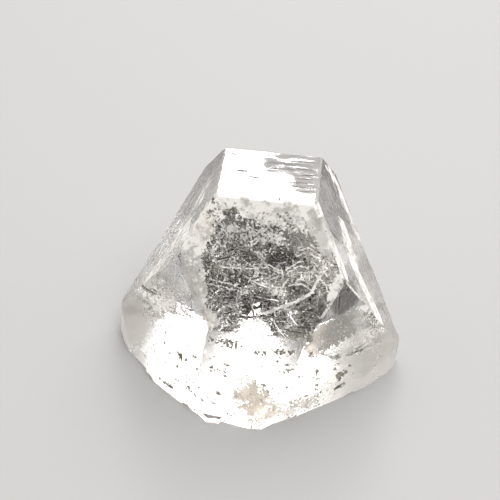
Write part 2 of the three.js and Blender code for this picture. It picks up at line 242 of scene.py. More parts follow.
# %% [markdown]
# ## Cells where the marks are
# The faces that look forwards and the two pyramid faces at the sides are first cut into 1 mm
# squares. Those near a mark are then cut ten times finer. Cutting everything that fine would give
# millions of cells, and most of them would have no mark.

# %% Mark cells
X_WAY, Y_WAY, Z_WAY = Vector((1, 0, 0)), Vector((0, 1, 0)), Vector((0, 0, 1))
CELL_TURN = math.radians(20)
COARSE_CELL = 1.0 * MM
FINE_CELL = 0.1 * MM
FORWARD = 0.3
SIDEWAYS = 0.8
UPWARD = 0.3


def looks_forward(face):
    return face.normal.y < -FORWARD


def looks_sideways(face):
    return abs(face.normal.x) > SIDEWAYS and face.normal.z > UPWARD


def near_mark(face):
    place = face.calc_center_median() / MM
    return any(apart_from(place, start, end) < reach + COARSE_CELL / MM
               for _, start, end, reach, _ in MARK_LINES)


def cell_skin(shape, looks, one):
    big = [face for face in shape.faces if looks(face)]
    coarse = slice_both_ways(shape, big, one, Z_WAY, CELL_TURN, COARSE_CELL)
    near = [face for face in coarse if near_mark(face)]
    return len(slice_both_ways(shape, near, one, Z_WAY, CELL_TURN, FINE_CELL))


print("cells that look forward", cell_skin(skin, looks_forward, X_WAY))
print("cells at the sides", cell_skin(skin, looks_sideways, Y_WAY))

# %% [markdown]
# ## Ripples of the split
# Apophyllite splits easily straight across. In front the split is flat. In the rear half it is
# rippled like the inside of a shell: curved steps spread from where the crack began, less than a
# tenth of a millimetre high, with finer grit between them. These steps are what one sees through
# the front face in the dark window, as fine white curves. A bump texture can't throw light far
# enough aside for that, so the ripples are real: the points of the cells underneath are lifted,
# which leaves the rim and the front standing flat.
#
# Each start of the crack is a place, the spacing of its steps, their reach and their height.
# The noise that bends the rings starts from the clock unless it has a seed, so it gets one.

# %% Ripples of the split
LEVEL = 0.9
SPLIT_CELL = 0.13 * MM
RIPPLED_FROM = 2.0 * MM
RIPPLED_FULLY = 5.4 * MM
RIPPLES = [
    (Vector((3.4, 5.0, 0)) * MM, 0.74 * MM, 4.4 * MM, 0.08 * MM),
    (Vector((-1.5, 5.2, 0)) * MM, 0.66 * MM, 3.8 * MM, 0.07 * MM),
    (Vector((-5.0, 3.2, 0)) * MM, 0.58 * MM, 3.0 * MM, 0.07 * MM),
    (Vector((0.9, 8.6, 0)) * MM, 0.6 * MM, 3.0 * MM, 0.08 * MM),
    (Vector((6.8, 1.8, 0)) * MM, 0.54 * MM, 2.6 * MM, 0.07 * MM),
]
WIDE_BENDS = (1.3 * MM, 0.55 * MM)
FINE_BENDS = (0.4 * MM, 0.1 * MM)
PATCH = 0.9 * MM
PATCH_MIDDLE = 0.55
FADE = 2.5
GRIT = 0.014 * MM
GRIT_SIZE = 0.33 * MM
GRIT_MIDDLE = 0.6
GRIT_ROUGHNESS = 0.8
GRIT_FINER = 2.1
GRIT_LAYERS = 3
RAGGED_START = 0.3
RIPPLE_SEED = 1


def underneath(face):
    return face.normal.z < -LEVEL and all(abs(vert.co.z) < TOUCH for vert in face.verts)


def rear_of_split(shape):
    """The faces of the underside behind where the ripples begin."""
    below = [face for face in shape.faces if underneath(face)]
    parts = cut_at(shape, below, Y_WAY, RIPPLED_FROM)
    return [face for face in parts if face.calc_center_median().y > RIPPLED_FROM]


def rings_at(place):
    """For each start of the crack: its ripples' height here, and how near the next step is, 0 to 1."""
    bent = place.copy()
    for size, most in (WIDE_BENDS, FINE_BENDS):
        bent += noise.noise_vector(place / size) * most
    for centre, spacing, reach, depth in RIPPLES:
        apart = (bent - centre).length
        fade = min(1, FADE * max(0, 1 - apart / reach))
        strength = max(0, PATCH_MIDDLE + noise.noise(place / PATCH + centre / MM))
        yield depth * strength * fade, 1 - (apart / spacing) % 1


def rear_share(place):
    """0 where the split is flat, rising to 1 where it is fully rippled."""
    share = (place.y - RIPPLED_FROM) / (RIPPLED_FULLY - RIPPLED_FROM)
    return min(1, max(0, share + RAGGED_START * noise.noise(place / MM)))


def ripple_height(place):
    """How far a point of the split is lifted: saw-toothed rings round each start, then grit."""
    height = sum(depth * saw ** 2 for depth, saw in rings_at(place))
    grit = noise.fractal(place / GRIT_SIZE, GRIT_ROUGHNESS, GRIT_FINER, GRIT_LAYERS)
    return rear_share(place) * (height + GRIT * max(0, GRIT_MIDDLE + grit))


def ripple_underside(shape):
    slice_both_ways(shape, rear_of_split(shape), X_WAY, Y_WAY, CELL_TURN, SPLIT_CELL)
    inner = [vert for vert in shape.verts if all(underneath(face) for face in vert.link_faces)]
    heights = [ripple_height(vert.co) for vert in inner]
    for vert, height in zip(inner, heights):
        vert.co.z += height
    return len(inner), max(heights)


noise.seed_set(RIPPLE_SEED)
lifted, highest = ripple_underside(skin)
print("lifted", lifted, "points by up to", round(highest / MM, 3), "mm;", len(skin.faces), "faces")
bmesh.ops.triangulate(skin, faces=[face for face in skin.faces if len(face.verts) > 3])
crystal = piece_from(skin, "crystal_point")
print("crystal_point has", len(crystal.data.polygons), "triangles")

# %% [markdown]
# ## Helpers for materials
# A node material is a small circuit. These helpers keep each circuit readable: one adds a node
# and fills its sockets, either with values or with the output of another node. Everything is
# measured in millimetres on the crystal itself, so a pattern 0.2 wide is 0.2 mm wide and stays
# where it is from every side.

# %% Material helpers
def add_node(tree, kind, sockets=None, **settings):
    made = tree.nodes.new(kind)
    for name, value in settings.items():
        setattr(made, name, value)
    for name, value in (sockets or {}).items():
        if isinstance(value, bpy.types.NodeSocket):
            tree.links.new(value, made.inputs[name])
        else:
            made.inputs[name].default_value = value
    return made


def maths(tree, operation, *values):
    return add_node(tree, "ShaderNodeMath", dict(enumerate(values)), operation=operation).outputs[0]


def vector_maths(tree, operation, output, sockets):
    return add_node(tree, "ShaderNodeVectorMath", sockets, operation=operation).outputs[output]


def times(tree, one, other):
    return maths(tree, "MULTIPLY", one, other)


def strongest(tree, *values):
    total = values[0]
    for value in values[1:]:
        total = maths(tree, "MAXIMUM", total, value)
    return total


def ramp_between(tree, value, low, high, to_low=0.0, to_high=1.0):
    sockets = {"Value": value, "From Min": low, "From Max": high, "To Min": to_low, "To Max": to_high}
    made = add_node(tree, "ShaderNodeMapRange", sockets, interpolation_type="SMOOTHSTEP")
    return made.outputs["Result"]


def millimetres(tree, size=(1, 1, 1), start=(0, 0, 0)):
    """The place on the crystal, in units of `size` millimetres, counted from `start`."""
    place = add_node(tree, "ShaderNodeTexCoord").outputs["Object"]
    scale = [1 / (MM * each) for each in size]
    sockets = {"Vector": place, "Scale": scale, "Location": start}
    return add_node(tree, "ShaderNodeMapping", sockets).outputs[0]


def coordinate(tree, place, axis):
    return add_node(tree, "ShaderNodeSeparateXYZ", {0: place}).outputs[axis]


def cloud(tree, place, detail=4.0, roughness=0.6):
    sockets = {"Vector": place, "Scale": 1.0, "Detail": detail, "Roughness": roughness}
    return add_node(tree, "ShaderNodeTexNoise", sockets).outputs["Fac"]


def even_cloud(tree, size, **settings):
    """A cloud whose billows are about `size` millimetres wide every way."""
    return cloud(tree, millimetres(tree, (size, size, size)), **settings)


CLEAN = (1.0, 1.0, 1.0, 1.0)


def mix_colour(tree, share, under, over):
    made = add_node(tree, "ShaderNodeMix", data_type="RGBA")
    for socket, value in ((made.inputs[0], share), (made.inputs[6], under), (made.inputs[7], over)):
        if isinstance(value, bpy.types.NodeSocket):
            tree.links.new(value, socket)
        else:
            socket.default_value = value
    return made.outputs[2]


def new_group(name, inputs, outputs):
    """A node group with named number or vector inputs, given as name: default."""
    tree = bpy.data.node_groups.new(name, "ShaderNodeTree")
    for label, value in inputs.items():
        kind = "NodeSocketVector" if value == "place" else "NodeSocketFloat"
        socket = tree.interface.new_socket(label, in_out="INPUT", socket_type=kind)
        if kind == "NodeSocketFloat":
            socket.default_value = value
    for label in outputs:
        tree.interface.new_socket(label, in_out="OUTPUT", socket_type="NodeSocketFloat")
    return tree, tree.nodes.new("NodeGroupInput").outputs, tree.nodes.new("NodeGroupOutput").inputs


def use_group(tree, group, **sockets):
    made = tree.nodes.new("ShaderNodeGroup")
    made.node_tree = group
    for label, value in sockets.items():
        if isinstance(value, bpy.types.NodeSocket):
            tree.links.new(value, made.inputs[label])
        else:
            made.inputs[label].default_value = value
    return made.outputs[0]


# %% [markdown]
# ## Speckles
# Every surface of the stone is peppered with pits and trapped bubbles, a tenth of a millimetre
# wide, most of them too small to have a shape. A Voronoi texture gives one point to each cell of
# space. Keeping only a share of the cells, and a different size of dot in each, makes them look
# strewn. All the materials use this, so it is a node group.

# %% Speckles group
SPECK_WARP = (0.55, 0.55, 0.55)
SPECK_WARP_SCALE = 2.3
SMALLEST_SPECK = 0.2


def speckles_group():
    tree, given, out = new_group("speckles", {"Place": "place", "Share": 0.3, "Size": 0.3}, ["Dots"])
    sockets = {"Vector": given["Place"], "Scale": SPECK_WARP_SCALE, "Detail": 3.0}
    warp = add_node(tree, "ShaderNodeTexNoise", sockets).outputs["Color"]
    warped = vector_maths(tree, "MULTIPLY_ADD", 0, {0: warp, 1: SPECK_WARP, 2: given["Place"]})
    cell = add_node(tree, "ShaderNodeTexVoronoi", {"Vector": warped, "Scale": 1.0})
    chance = add_node(tree, "ShaderNodeSeparateColor", {"Color": cell.outputs["Color"]})
    kept = maths(tree, "LESS_THAN", chance.outputs["Red"], given["Share"])
    relative = ramp_between(tree, chance.outputs["Green"], 0, 1, SMALLEST_SPECK, 1)
    radius = times(tree, given["Size"], relative)
    dot = ramp_between(tree, cell.outputs["Distance"], radius, times(tree, radius, 0.5))
    tree.links.new(times(tree, dot, kept), out["Dots"])
    return tree


SPECKLES = speckles_group()
print("speckles group has", len(SPECKLES.nodes), "nodes")

# %% [markdown]
# ## Zones
# Haze, frosting and dirt gather in places: at the two side corners, below the tip, along one
# side of the clear window. A zone is a soft ball of space, 1 at its middle and 0 past its edge,
# whose edge a little noise makes ragged. Where a zone meets the skin of the crystal it leaves a
# patch, and the patch is in the same place from every side.

# %% Zone group
RAGGED_BITS = 1.8


def zone_group():
    tree, given, out = new_group(
        "zone", {"Place": "place", "Centre": "place", "Radius": 1.0, "Softness": 0.5, "Ragged": 0.3},
        ["Mask"])
    ends = {0: given["Place"], 1: given["Centre"]}
    apart = vector_maths(tree, "DISTANCE", "Value", ends)
    share = maths(tree, "DIVIDE", apart, given["Radius"])
    finer = maths(tree, "DIVIDE", RAGGED_BITS, given["Radius"])
    grain = vector_maths(tree, "SCALE", 0, {0: given["Place"], "Scale": finer})
    waver = times(tree, maths(tree, "SUBTRACT", cloud(tree, grain), 0.5), given["Ragged"])
    edge = maths(tree, "ADD", share, waver)
    inner = maths(tree, "SUBTRACT", 1.0, given["Softness"])
    tree.links.new(ramp_between(tree, edge, 1.0, inner), out["Mask"])
    return tree


ZONE = zone_group()


def zones(tree, place, patches):
    """The strongest of several zones: each patch is centre, radius, softness, raggedness, weight."""
    weighed = []
    for centre, radius, softness, ragged, weight in patches:
        mask = use_group(tree, ZONE, Place=place, Centre=centre, Radius=radius, Softness=softness,
                         Ragged=ragged)
        weighed.append(times(tree, mask, weight))
    return strongest(tree, *weighed)


print("zone group has", len(ZONE.nodes), "nodes")

# %% [markdown]
# ## Glass
# Apophyllite bends light a little more than window glass does: its index is 1.535. The index and
# the faint warm absorption are the same all over the stone. Transmission is one plain value for
# each finish: all of it where the stone is clear, less where it is crushed or veiled, and none
# through dirt. Only roughness, relief and colour change from place to place within a finish.

# %% Glass
APOPHYLLITE_INDEX = 1.535
ABSORPTION_COLOUR = (0.93, 0.9, 0.87, 1)
ABSORPTION_DENSITY = 16.0


def glass_material(name, transmission=1.0):
    material = bpy.data.materials.new(name)
    material.use_nodes = True
    tree = material.node_tree
    shader = tree.nodes["Principled BSDF"]
    shader.inputs["Transmission Weight"].default_value = transmission
    shader.inputs["IOR"].default_value = APOPHYLLITE_INDEX
    volume = add_node(tree, "ShaderNodeVolumeAbsorption",
                      {"Color": ABSORPTION_COLOUR, "Density": ABSORPTION_DENSITY})
    tree.links.new(volume.outputs[0], tree.nodes["Material Output"].inputs["Volume"])
    return material, tree, shader


def raise_surface(tree, shader, heights):
    """Chains bumps: each is a height from 0 to 1 and how many millimetres 1 stands for."""
    normal = None
    for height, depth in heights:
        sockets = {"Height": height, "Distance": depth * MM, "Strength": 1.0}
        if normal is not None:
            sockets["Normal"] = normal
        normal = add_node(tree, "ShaderNodeBump", sockets).outputs["Normal"]
    tree.links.new(normal, shader.inputs["Normal"])


# %% [markdown]
# ## Grown faces
# The faces that grew are glassy, but not like cut glass. Growth left fine streaks that run down
# the side faces along their outer ridges, and veils of tiny bubbles make broad patches hazy.
# Streaks are a noise that is stretched in one direction; haze is roughness inside zones. The
# face's colour carries painted shade: a faint mauve grey at the corners, below the tip and down
# the left side, and a dark smoke grey round the window and at the foot. In the window itself run
# thin broken curves, low steps that the last growth left.

# %% Grown faces
HAZE = [
    ((-10.4, -1.4, 1.6), 4.6, 0.7, 0.5, 0.5),
    ((10.6, -1.2, 1.6), 4.6, 0.7, 0.5, 0.5),
    ((-0.6, -3.3, 14.2), 3.1, 0.6, 0.9, 0.3),
    ((2.4, -3.6, 13.6), 2.6, 0.6, 0.9, 0.26),
    ((-6.6, -4.2, 8.4), 2.9, 0.6, 0.9, 0.3),
    ((7.2, -5.2, 5.2), 2.8, 0.7, 0.8, 0.3),
    ((2.0, -10.2, 1.2), 2.8, 0.8, 0.7, 0.36),
]
# Painted shade: a faint mauve grey tint that darkens the corners, below the tip and the left side.
PAINTED_MAUVE_SHADE = (0.82, 0.77, 0.75, 1)
# Painted shade: a dark smoke grey tint that darkens the window and the front of the foot.
PAINTED_DARK_SHADE = (0.1, 0.095, 0.09, 1)
PAINTED_MAUVE_SHADE_ZONES = [
    ((-10.4, -1.4, 1.6), 4.4, 0.8, 0.6, 0.3),
    ((10.6, -1.2, 1.6), 4.6, 0.8, 0.6, 0.4),
    ((-7.0, -4.2, 7.0), 3.0, 0.8, 0.8, 0.7),
    ((-0.4, -3.6, 13.6), 2.8, 0.9, 1.0, 0.7),
]
PAINTED_DARK_SHADE_ZONES = [
    ((-2.2, -7.0, 8.1), 1.9, 0.6, 0.8, 0.8),
    ((-0.1, -6.8, 8.4), 1.7, 0.5, 0.7, 1.0),
    ((1.4, -7.2, 7.7), 1.7, 0.6, 0.8, 0.9),
    ((3.2, -6.5, 9.1), 1.6, 0.5, 0.6, 0.9),
    ((4.2, -7.0, 7.8), 1.8, 0.6, 0.8, 0.95),
    ((6.4, -5.5, 8.7), 2.0, 0.4, 0.7, 1.0),
    ((5.7, -6.2, 6.4), 1.9, 0.5, 0.9, 0.8),
    ((1.2, -10.0, 2.0), 2.6, 0.9, 0.9, 0.8),
    ((2.9, -9.4, 1.1), 1.8, 0.9, 0.9, 0.7),
]
WINDOWS = [
    ((0.8, -5.7, 10.0), 4.9, 0.35, 0.7, 1.0),
    ((6.5, -5.4, 8.6), 2.0, 0.4, 0.7, 1.0),
]
WINDOW_CURVES = [((4.6, -5.2, 8.2), 1.05), ((-2.6, -5.0, 8.6), 0.95), ((0.8, -4.0, 13.2), 0.85)]
WAVE_RINGS = 3.2
IN_FRONT = (-1.0, -2.5)
SIDE_FACES = (0.8, 0.86)

# One millimetre of a side face's slope goes this far out and this far down, and the streaks lean
# this far forwards on the way.
SLOPE_OUT = 0.49
SLOPE_DOWN = 0.87
STREAK_LEAN = 0.32


def down_the_slope(tree, across_size, along_size):
    """Coordinates on the two side pyramid faces: across the streaks, then down along them."""
    place = millimetres(tree)
    out = times(tree, maths(tree, "ABSOLUTE", coordinate(tree, place, "X")), SLOPE_OUT)
    down = maths(tree, "SUBTRACT", out, times(tree, coordinate(tree, place, "Z"), SLOPE_DOWN))
    lean = maths(tree, "ADD", coordinate(tree, place, "Y"), times(tree, down, STREAK_LEAN))
    sockets = {"X": maths(tree, "DIVIDE", lean, across_size), "Y": maths(tree, "DIVIDE", down, along_size)}
    return add_node(tree, "ShaderNodeCombineXYZ", sockets).outputs[0]


def side_streaks(tree):
    """Patches of streaks on the two pyramid faces that look sideways, 0 on all other faces."""
    normal = add_node(tree, "ShaderNodeTexCoord").outputs["Normal"]
    sideways = maths(tree, "ABSOLUTE", coordinate(tree, normal, "X"))
    streaks = cloud(tree, down_the_slope(tree, 0.4, 2.6), detail=5, roughness=0.7)
    on_side = times(tree, ramp_between(tree, sideways, *SIDE_FACES), ramp_between(tree, streaks, 0.42, 0.6))
    return times(tree, on_side, ramp_between(tree, even_cloud(tree, 2.4, detail=3), 0.36, 0.56, 0.25, 1))


def thin_curves(tree, centre, spacing):
    """Ring-shaped lines round a point, bent and broken by noise."""
    place = millimetres(tree, start=[-each for each in centre])
    sockets = {"Vector": place, "Scale": 1 / (spacing * WAVE_RINGS), "Distortion": 5.5, "Detail": 3.0,
               "Detail Scale": 0.6, "Detail Roughness": 0.6}
    wave = add_node(tree, "ShaderNodeTexWave", sockets, wave_type="RINGS", rings_direction="SPHERICAL",
                    wave_profile="SAW").outputs["Fac"]
    line = times(tree, ramp_between(tree, wave, 0.84, 0.9), ramp_between(tree, wave, 1.0, 0.95))
    own = millimetres(tree, (1.1, 1.1, 1.1), start=(centre[0], 0, 0))
    return times(tree, line, ramp_between(tree, cloud(tree, own), 0.47, 0.6))


def grown_faces():
    material, tree, shader = glass_material("grown_faces")
    place = millimetres(tree)
    # Painted shade: the faint mauve grey tint in its zones.
    painted_shade = mix_colour(tree, zones(tree, place, PAINTED_MAUVE_SHADE_ZONES), CLEAN, PAINTED_MAUVE_SHADE)
    # Painted shade: the dark smoke grey tint in its zones round the window and at the foot.
    painted_shade = mix_colour(tree, zones(tree, place, PAINTED_DARK_SHADE_ZONES), painted_shade, PAINTED_DARK_SHADE)
    tree.links.new(painted_shade, shader.inputs["Base Color"])

    haze = zones(tree, place, HAZE)
    veins = ramp_between(tree, even_cloud(tree, 0.9, detail=6, roughness=0.7), 0.3, 0.6, 0.5, 1.1)
    streaks = side_streaks(tree)
    in_front = ramp_between(tree, coordinate(tree, place, "Y"), *IN_FRONT)
    window = times(tree, zones(tree, place, WINDOWS), in_front)
    curves = strongest(tree, *[thin_curves(tree, *each) for each in WINDOW_CURVES])
    curves = times(tree, curves, window)
    fine = millimetres(tree, (0.4, 0.4, 0.4))
    dots = times(tree, use_group(tree, SPECKLES, Place=fine, Share=0.4, Size=0.3), in_front)
    waves = even_cloud(tree, 1.6, detail=2, roughness=0.5)
    waves = times(tree, waves, ramp_between(tree, haze, 0.0, 0.2))

    rough = strongest(tree, times(tree, haze, veins), times(tree, streaks, 0.3),
                      times(tree, curves, 0.3), times(tree, dots, 0.4))
    tree.links.new(rough, shader.inputs["Roughness"])
    raise_surface(tree, shader, [(waves, 0.03), (streaks, 0.02), (curves, 0.06), (dots, -0.05)])
    return material


# %% [markdown]
# ## Bruised glass
# Where the crystal was knocked or rubbed, the glass is crushed to a milky white. Crushed glass
# passes little light straight on, so most of what this finish shows is its own pale colour, in
# clumps of white and grey with a grain of crystal dust. Near the tip the dust has taken up some
# brown.

# %% Bruised glass
CRUSHED_TRANSMISSION = 0.12
BRUISED_WHITE = (0.97, 0.945, 0.915, 1)
BRUISED_GREY = (0.56, 0.54, 0.52, 1)
BRUISED_BROWN = (0.72, 0.65, 0.56, 1)
BROWN_ZONES = [((-4.6, -4.2, 13.2), 2.2, 0.9, 1.2, 0.6), ((0.4, -3.2, 14.0), 1.6, 0.9, 1.2, 0.5)]


def bruised_glass():
    material, tree, shader = glass_material("bruised_glass", CRUSHED_TRANSMISSION)
    grain = even_cloud(tree, 0.12, detail=4, roughness=0.7)
    tree.links.new(ramp_between(tree, grain, 0.3, 0.7, 0.4, 0.7), shader.inputs["Roughness"])
    clumps = ramp_between(tree, even_cloud(tree, 0.7, detail=4, roughness=0.65), 0.46, 0.62)
    crushed = mix_colour(tree, clumps, BRUISED_WHITE, BRUISED_GREY)
    brown = zones(tree, millimetres(tree), BROWN_ZONES)
    dusty = times(tree, brown, ramp_between(tree, grain, 0.4, 0.65))
    tree.links.new(mix_colour(tree, dusty, crushed, BRUISED_BROWN), shader.inputs["Base Color"])
    raise_surface(tree, shader, [(grain, 0.02)])
    return material


# %% [markdown]
# ## Veiled glass
# Veils are clouds of bubbles too small to see one by one. They are milky too, but let more light
# through. Most are pale with a breath of mauve. The one to the right of the window is grey, and
# the one at the foot olive grey. Here and there a group of bubbles sparkles white.

# %% Veiled glass
VEILED_TRANSMISSION = 0.38
VEIL_PALE = (0.895, 0.888, 0.865, 1)
VEIL_MAUVE = (0.56, 0.55, 0.53, 1)
VEIL_GREY = (0.35, 0.347, 0.33, 1)
VEIL_OLIVE = (0.36, 0.385, 0.36, 1)
GREY_ZONES = [((6.0, -5.9, 6.0), 2.8, 0.6, 0.6, 1.0)]
OLIVE_ZONES = [((0.7, -10.2, 2.2), 2.6, 0.9, 0.7, 0.75)]


def veiled_glass():
    material, tree, shader = glass_material("veiled_glass", VEILED_TRANSMISSION)
    place = millimetres(tree)
    billow = even_cloud(tree, 0.9, detail=5, roughness=0.6)
    tree.links.new(ramp_between(tree, billow, 0.3, 0.7, 0.3, 0.6), shader.inputs["Roughness"])
    colour = mix_colour(tree, ramp_between(tree, billow, 0.4, 0.62), VEIL_PALE, VEIL_MAUVE)
    colour = mix_colour(tree, zones(tree, place, GREY_ZONES), colour, VEIL_GREY)
    colour = mix_colour(tree, zones(tree, place, OLIVE_ZONES), colour, VEIL_OLIVE)
    grain = even_cloud(tree, 0.16, detail=3, roughness=0.7)
    sparkle = ramp_between(tree, grain, 0.54, 0.66, 0.0, 0.7)
    tree.links.new(mix_colour(tree, sparkle, colour, CLEAN), shader.inputs["Base Color"])
    raise_surface(tree, shader, [(billow, 0.04), (grain, 0.02)])
    return material


# %% [markdown]
# ## Dirt
# Grains of the rock that the crystal grew on: grey brown crumbs, a yellowish cluster and one
# fleck of gold brown. Rock is opaque, so this finish passes no light.

# %% Dirt
DIRT_DARK = (0.1, 0.092, 0.08, 1)
DIRT_PALE = (0.42, 0.4, 0.34, 1)
GOLD_BROWN = (0.13, 0.08, 0.03, 1)
GOLD_ZONES = [((-5.5, -7.4, 3.2), 0.7, 0.4, 0.6, 1.0)]
DIRT_ROUGHNESS = 0.7


def dirt():
    material, tree, shader = glass_material("dirt", transmission=0.0)
    shader.inputs["Roughness"].default_value = DIRT_ROUGHNESS
    crumb = even_cloud(tree, 0.22, detail=4, roughness=0.7)
    colour = mix_colour(tree, ramp_between(tree, crumb, 0.4, 0.62), DIRT_DARK, DIRT_PALE)
    gold = zones(tree, millimetres(tree), GOLD_ZONES)
    tree.links.new(mix_colour(tree, gold, colour, GOLD_BROWN), shader.inputs["Base Color"])
    raise_surface(tree, shader, [(crumb, 0.03)])
    return material


# %% [markdown]
# ## Cracks
# One long crack and bundles of fine curved ones cross the clear window of the front face. They
# are bruised as well. Each is given by its width, how many copies of it lie one above the other
# and how far apart, and how far right and how high it runs, all in millimetres. Cracks narrower
# than a cell come out as broken lines, as they do in the stone.

# %% Cracks
CRACKS = [
    (0.2, 1, 0.0, [(0.6, 7.8), (1.4, 8.1), (2.8, 8.7), (3.8, 9.3), (4.4, 10.4)]),
    (0.08, 3, 0.3, [(1.9, 10.1), (2.8, 10.7), (3.9, 10.7), (4.9, 10.0), (5.4, 9.2)]),
    (0.07, 3, 0.26, [(2.6, 11.7), (3.4, 12.0), (4.3, 11.6), (4.8, 11.0)]),
    (0.07, 2, 0.3, [(1.8, 13.0), (2.5, 13.5), (3.4, 13.4), (4.2, 12.9)]),
    (0.07, 2, 0.34, [(-1.1, 11.8), (-0.2, 12.5), (0.9, 12.5), (1.4, 12.0)]),
    (0.07, 3, 0.22, [(-3.7, 11.2), (-3.5, 11.8), (-2.9, 12.1)]),
    (0.08, 2, 0.2, [(-3.2, 10.6), (-1.5, 10.5), (0.4, 10.7), (1.6, 10.4)]),
    (0.07, 2, 0.3, [(-3.7, 9.3), (-1.8, 9.1), (-0.3, 9.5)]),
    (0.07, 2, 0.3, [(1.5, 8.9), (2.0, 9.7), (3.1, 9.9), (4.0, 9.5)]),
]
THICK_CRACK = 0.15
FINE_WAVER = (0.3, 0.07)
WIDE_WAVER = (1.4, 0.12)
BREAK_SIZE = 0.5
BREAK_BELOW = -0.12


def crack_lines():
    """Each crack's copies, one above the other, as width and points."""
    for width, copies, gap, route in CRACKS:
        for copy in range(copies):
            yield width, [Vector((x, z + copy * gap)) for x, z in route]


CRACK_LINES = list(crack_lines())


def on_crack(place):
    """Whether a cell is on a crack. Thin cracks are broken up, and each wavers in its own way."""
    for number, (width, points) in enumerate(CRACK_LINES):
        own = place + Vector((0, 3 * number, 0))
        waver = sum(most * noise.noise(own / size) for size, most in (FINE_WAVER, WIDE_WAVER))
        spot = Vector((place.x, place.z + waver))
        if any(apart_from(spot, *ends) < width / 2 for ends in zip(points, points[1:])):
            return width > THICK_CRACK or noise.noise(own / BREAK_SIZE) > BREAK_BELOW
    return False


print(len(CRACK_LINES), "cracks")

# %% [markdown]
# ## Worn ridges
# Where two faces meet, handling has rubbed the ridge dull. It still lets the light through, so it
# shows as a thin soft line that is brighter in some places than in others.

# %% Worn ridges
WORN_TRANSMISSION = 0.7


def worn_glass():
    material, tree, shader = glass_material("worn_glass", WORN_TRANSMISSION)
    rubbed = even_cloud(tree, 0.6, detail=4, roughness=0.7)
    tree.links.new(ramp_between(tree, rubbed, 0.36, 0.62, 0.08, 0.5), shader.inputs["Roughness"])
    raise_surface(tree, shader, [(rubbed, 0.03)])
    return material


# %% [markdown]
# ## Luck
# Which cells of a mark are really covered is a matter of noise: a fine one for the specks and a
# coarse one for the clumps. On the side faces it is stretched down the slope, because there the
# bruises follow the growth streaks.

# %% Luck
SPECK_LUCK = (0.17, 0.7)
CLUMP_LUCK = (0.8, 0.4)
LUCK_STRETCH = 6


def luck(place, sideways):
    if sideways:
        down = SLOPE_OUT * abs(place.x) - SLOPE_DOWN * place.z
        place = Vector((place.y + STREAK_LEAN * down, down / LUCK_STRETCH, 0))
    return 0.5 + sum(weight * noise.noise(place / size) for size, weight in (SPECK_LUCK, CLUMP_LUCK))


def marked(place, sideways):
    """The finish that a cell takes from the marks, or None; its place is in millimetres."""
    chance = luck(place, sideways)
    for finish, start, end, reach, share in MARK_LINES:
        if chance < share * (1 - (apart_from(place, start, end) / reach) ** 2):
            return finish
    return None


# %% [markdown]
# ## Tip
# The flat tip is the brightest face, because it mirrors the light behind the crystal. Across its
# right half run level growth ripples that break the mirror into grey streaks. They are rough, and
# their grey is also painted shade, a mauve grey tint.

# %% Tip
RIPPLED_TIP = [
    ((2.6, 3.0, 15.06), 3.0, 0.35, 1.0, 1.0),
    ((0.6, 2.6, 15.06), 1.9, 0.4, 1.2, 1.0),
    ((3.0, -0.1, 15.06), 1.9, 0.4, 1.2, 1.0),
]


def tip_facet():
    material, tree, shader = glass_material("tip_facet")
    ripples = cloud(tree, millimetres(tree, (2.6, 0.5, 1)), detail=5, roughness=0.6)
    where = zones(tree, millimetres(tree), RIPPLED_TIP)
    broken = times(tree, where, ramp_between(tree, ripples, 0.36, 0.5))
    smudge = cloud(tree, millimetres(tree, (1.2, 0.5, 1)), detail=6, roughness=0.75)
    smudge = ramp_between(tree, smudge, 0.62, 0.7, 0.0, 0.22)
    tree.links.new(strongest(tree, times(tree, broken, 0.4), smudge), shader.inputs["Roughness"])
    # Painted shade: the ripples are tinted mauve grey to darken them.
    tree.links.new(mix_colour(tree, broken, CLEAN, PAINTED_MAUVE_SHADE), shader.inputs["Base Color"])
    sparse = millimetres(tree, (0.5, 0.5, 0.5))
    dots = use_group(tree, SPECKLES, Place=sparse, Share=0.12, Size=0.3)
    raise_surface(tree, shader, [(dots, -0.02)])
    return material


# %% [markdown]
# ## Split underneath
# The front of the split is pearly: the crack left thin films between the crystal's layers, which
# scatter light, so the foot above it looks white from every side. The rippled rear is clear, and
# its shape draws most of the white curves. Finer ones than the cells can hold run round the same
# starts as thin rough lines. One roughness that fades between the two halves does it.
#
# Each set of thin curves is a centre, the spacing of its lines and their reach, in millimetres.

# %% Split
CRACK_CURVES = [
    ((3.4, 5.0, 0.0), 0.42, 3.6),
    ((-1.5, 5.2, 0.0), 0.36, 3.2),
    ((-5.0, 3.2, 0.0), 0.4, 2.8),
    ((0.9, 8.6, 0.0), 0.34, 2.6),
    ((6.8, 2.2, 0.0), 0.36, 2.6),
]
CURVE_BEND = 3.2
CURVE_BEND_SCALE = 0.62
PEARLY = (2.7, 2.2)
PEARLY_RAGGED = 1.3
GAP_IN_THE_PEARL = [((2.2, -9.6, 0.0), 2.8, 0.7, 0.8, 0.85)]


def crack_curves(tree, place):
    """Thin ring-shaped lines round each start of the crack, bent by noise and broken in places."""
    sockets = {"Vector": place, "Scale": CURVE_BEND_SCALE, "Detail": 3.5, "Roughness": 0.55}
    bend = add_node(tree, "ShaderNodeTexNoise", sockets).outputs["Color"]
    most = (CURVE_BEND, CURVE_BEND, 0.0)
    moved = vector_maths(tree, "MULTIPLY_ADD", 0, {0: bend, 1: most, 2: place})
    lines = []
    for centre, spacing, reach in CRACK_CURVES:
        middle = (centre[0] + CURVE_BEND / 2, centre[1] + CURVE_BEND / 2, 0.0)
        apart = vector_maths(tree, "DISTANCE", "Value", {0: moved, 1: middle})
        phase = maths(tree, "FRACT", maths(tree, "DIVIDE", apart, spacing))
        rise, fall = ramp_between(tree, phase, 0.0, 0.12), ramp_between(tree, phase, 0.32, 0.14)
        near = ramp_between(tree, apart, reach, reach * 0.8)
        lines.append(times(tree, times(tree, rise, fall), near))
    broken = ramp_between(tree, even_cloud(tree, 1.4, detail=3), 0.4, 0.52)
    return times(tree, strongest(tree, *lines), broken)


